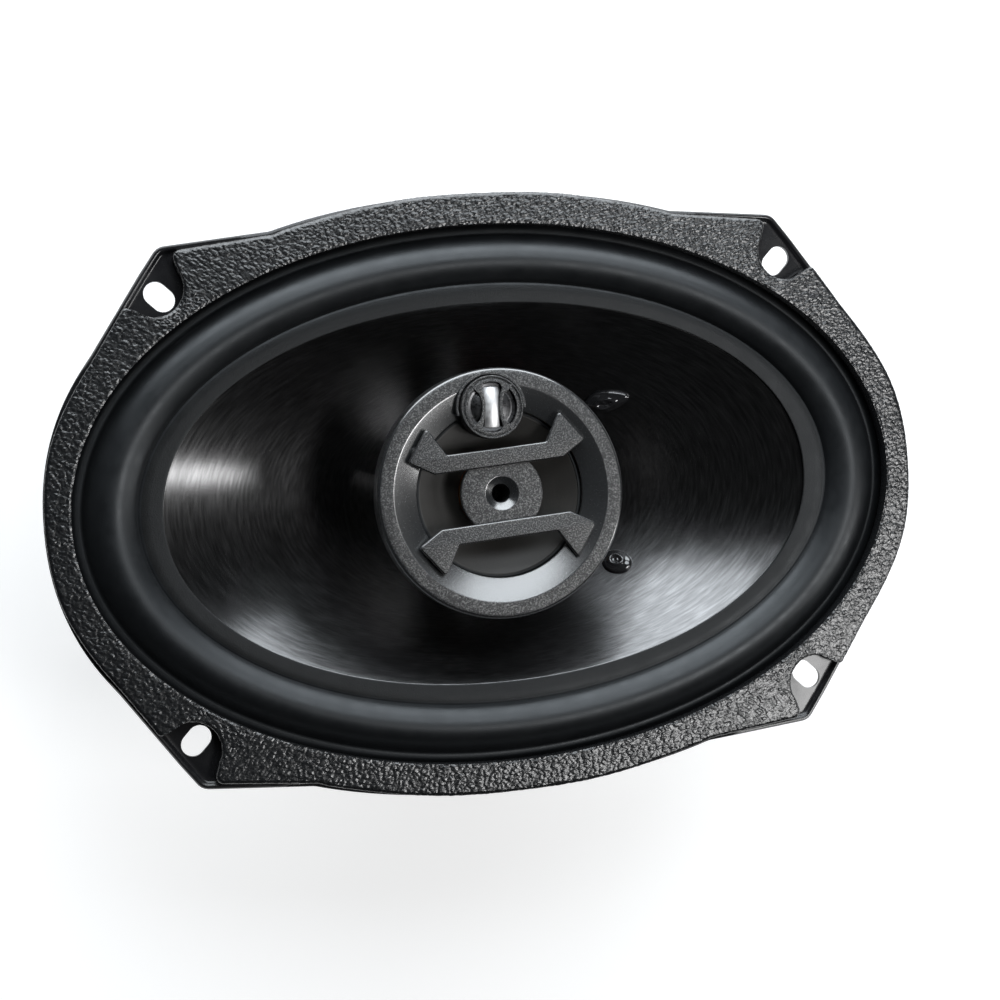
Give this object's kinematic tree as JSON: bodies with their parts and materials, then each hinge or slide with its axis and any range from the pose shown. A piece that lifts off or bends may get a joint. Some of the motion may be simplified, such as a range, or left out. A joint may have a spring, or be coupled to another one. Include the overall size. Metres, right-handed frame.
{
  "type": "coaxial car speaker",
  "caption": "Oval coaxial car speaker with stamped steel basket, rubber-edged cone, and a round pod carrying a midrange and a small tweeter on a post.",
  "frame": {"origin": "centre of the motor's rear face, the face it stands on", "axes": "+Z along the speaker's axis out of its front, +X along the oval's long axis towards the terminals, +Y along its short axis towards the tweeter"},
  "size_m": [0.2378, 0.1614, 0.0939],
  "materials": {
    "painted_steel": "gloss black paint over stamped steel",
    "gasket_foam": "black gasket with a pebbled leather-like face",
    "zinc_steel": "bright zinc plate with turning marks",
    "ferrite": "dark grey sintered ferrite, matt",
    "polypropylene": "black mica-filled polypropylene with fine concentric lines, satin",
    "rubber": "satin black rubber",
    "spider_cloth": "resin-stiffened woven cloth",
    "former_film": "amber film former",
    "copper": "enamelled copper wire",
    "brass": "bright brass",
    "cement": "wet-looking black cement",
    "tinsel": "braided tinsel conductor",
    "phenolic": "dark brown phenolic board",
    "tin": "tinned brass",
    "cap_sleeve": "dark blue-black shrink sleeve",
    "red_wire": "red insulation",
    "black_wire": "black insulation",
    "pod_plastic": "dark grey plastic with a fine metallic speckle, satin",
    "black_screw": "black oxide steel",
    "neodymium": "nickel plated magnet",
    "midrange_cone": "grey-brown coated cone",
    "foil": "metallised film"
  },
  "bodies": {
    "frame": {"basket": "painted_steel", "front_gasket": "gasket_foam", "back_plate_and_pole": "zinc_steel", "ferrite_magnet": "ferrite", "top_plate": "zinc_steel", "plate_rivet_1": "zinc_steel", "plate_rivet_2": "zinc_steel", "plate_rivet_3": "zinc_steel", "plate_rivet_4": "zinc_steel", "centre_post": "zinc_steel", "spider": "spider_cloth", "surround": "rubber", "tinsel_lead_positive": "tinsel", "tinsel_lead_negative": "tinsel", "terminal_board": "phenolic", "terminal_positive": "tin", "terminal_negative": "tin", "board_rivet": "zinc_steel", "terminal_rivet_positive": "zinc_steel", "terminal_rivet_negative": "zinc_steel", "midrange_capacitor": "cap_sleeve", "tweeter_capacitor": "cap_sleeve", "capacitor_jumper": "tin", "capacitor_feed_wire": "red_wire", "pod_lead_positive": "red_wire", "pod_lead_negative": "black_wire", "pod_bezel": "pod_plastic", "pod_cup": "pod_plastic", "midrange_guard": "pod_plastic", "pod_screw": "black_screw", "midrange_yoke": "zinc_steel", "midrange_magnet": "neodymium", "midrange_pole_plate": "zinc_steel", "midrange_frame": "pod_plastic", "midrange_surround": "rubber", "tweeter_guard": "pod_plastic", "tweeter_cup": "pod_plastic", "tweeter_yoke": "zinc_steel", "tweeter_magnet": "neodymium", "tweeter_pole_plate": "zinc_steel"},
    "cone_assembly": {"cone": "polypropylene", "voice_coil_former": "former_film", "voice_coil_winding": "copper", "lead_eyelet_positive": "brass", "lead_eyelet_negative": "brass", "cement_dab_positive": "cement", "cement_dab_negative": "cement"},
    "midrange_diaphragm": {"midrange_cone": "midrange_cone", "midrange_former": "former_film", "midrange_coil": "copper"},
    "tweeter_diaphragm": {"tweeter_dome": "foil", "tweeter_coil": "copper"}
  },
  "joints": [
    {"name": "cone_stroke", "type": "slide", "parent": "frame", "child": "cone_assembly", "axis": [0, 0, 1], "range_m": [-0.004, 0.004], "stiffness_N_per_m": 3000, "deforming": ["surround", "spider", "tinsel_lead_positive", "tinsel_lead_negative"]},
    {"name": "midrange_stroke", "type": "slide", "parent": "frame", "child": "midrange_diaphragm", "axis": [0, 0, 1], "range_m": [-0.0006, 0.0006], "stiffness_N_per_m": 800, "deforming": ["midrange_surround"]},
    {"name": "tweeter_stroke", "type": "slide", "parent": "frame", "child": "tweeter_diaphragm", "axis": [0, 0, 1], "range_m": [-0.00015, 0.00015], "stiffness_N_per_m": 400}
  ]
}
